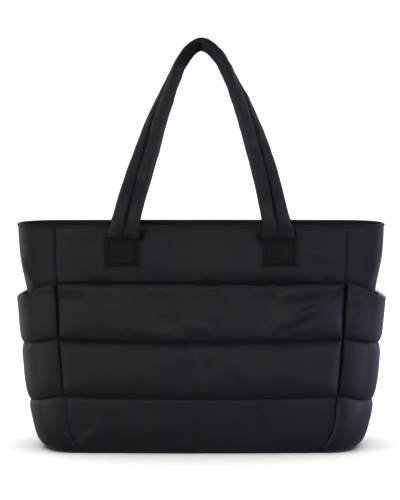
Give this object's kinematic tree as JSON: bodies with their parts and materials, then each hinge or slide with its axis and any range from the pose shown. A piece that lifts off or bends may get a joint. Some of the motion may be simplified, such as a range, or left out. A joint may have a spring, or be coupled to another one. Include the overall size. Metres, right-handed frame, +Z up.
{
  "type": "quilted tote bag",
  "caption": "Black quilted nylon tote bag, open at the top, with a puffed slip pocket on the front, a puffed pocket on each gusset and padded handles that stand up.",
  "frame": {"origin": "on the surface the bag stands on, under the middle of its box", "axes": "+Z up, the front with the slip pocket faces -Y, +X to the right as seen from the front"},
  "size_m": [0.4816, 0.1904, 0.5324],
  "materials": {
    "shell_nylon": "lightly padded woven nylon, soft satin",
    "quilted_nylon": "puffed quilted nylon, soft satin",
    "strap_nylon": "padded nylon strap, soft satin",
    "tab_nylon": "flat sewn nylon, matt"
  },
  "bodies": {
    "root": {"base_panel": "shell_nylon", "front_panel": "shell_nylon", "back_panel": "quilted_nylon", "left_gusset": "shell_nylon", "right_gusset": "shell_nylon", "front_pocket": "quilted_nylon", "left_pocket": "quilted_nylon", "right_pocket": "quilted_nylon", "rim_binding": "shell_nylon", "front_handle": "strap_nylon", "back_handle": "strap_nylon", "front_left_tab": "tab_nylon", "front_right_tab": "tab_nylon", "back_left_tab": "tab_nylon", "back_right_tab": "tab_nylon"}
  },
  "joints": []
}
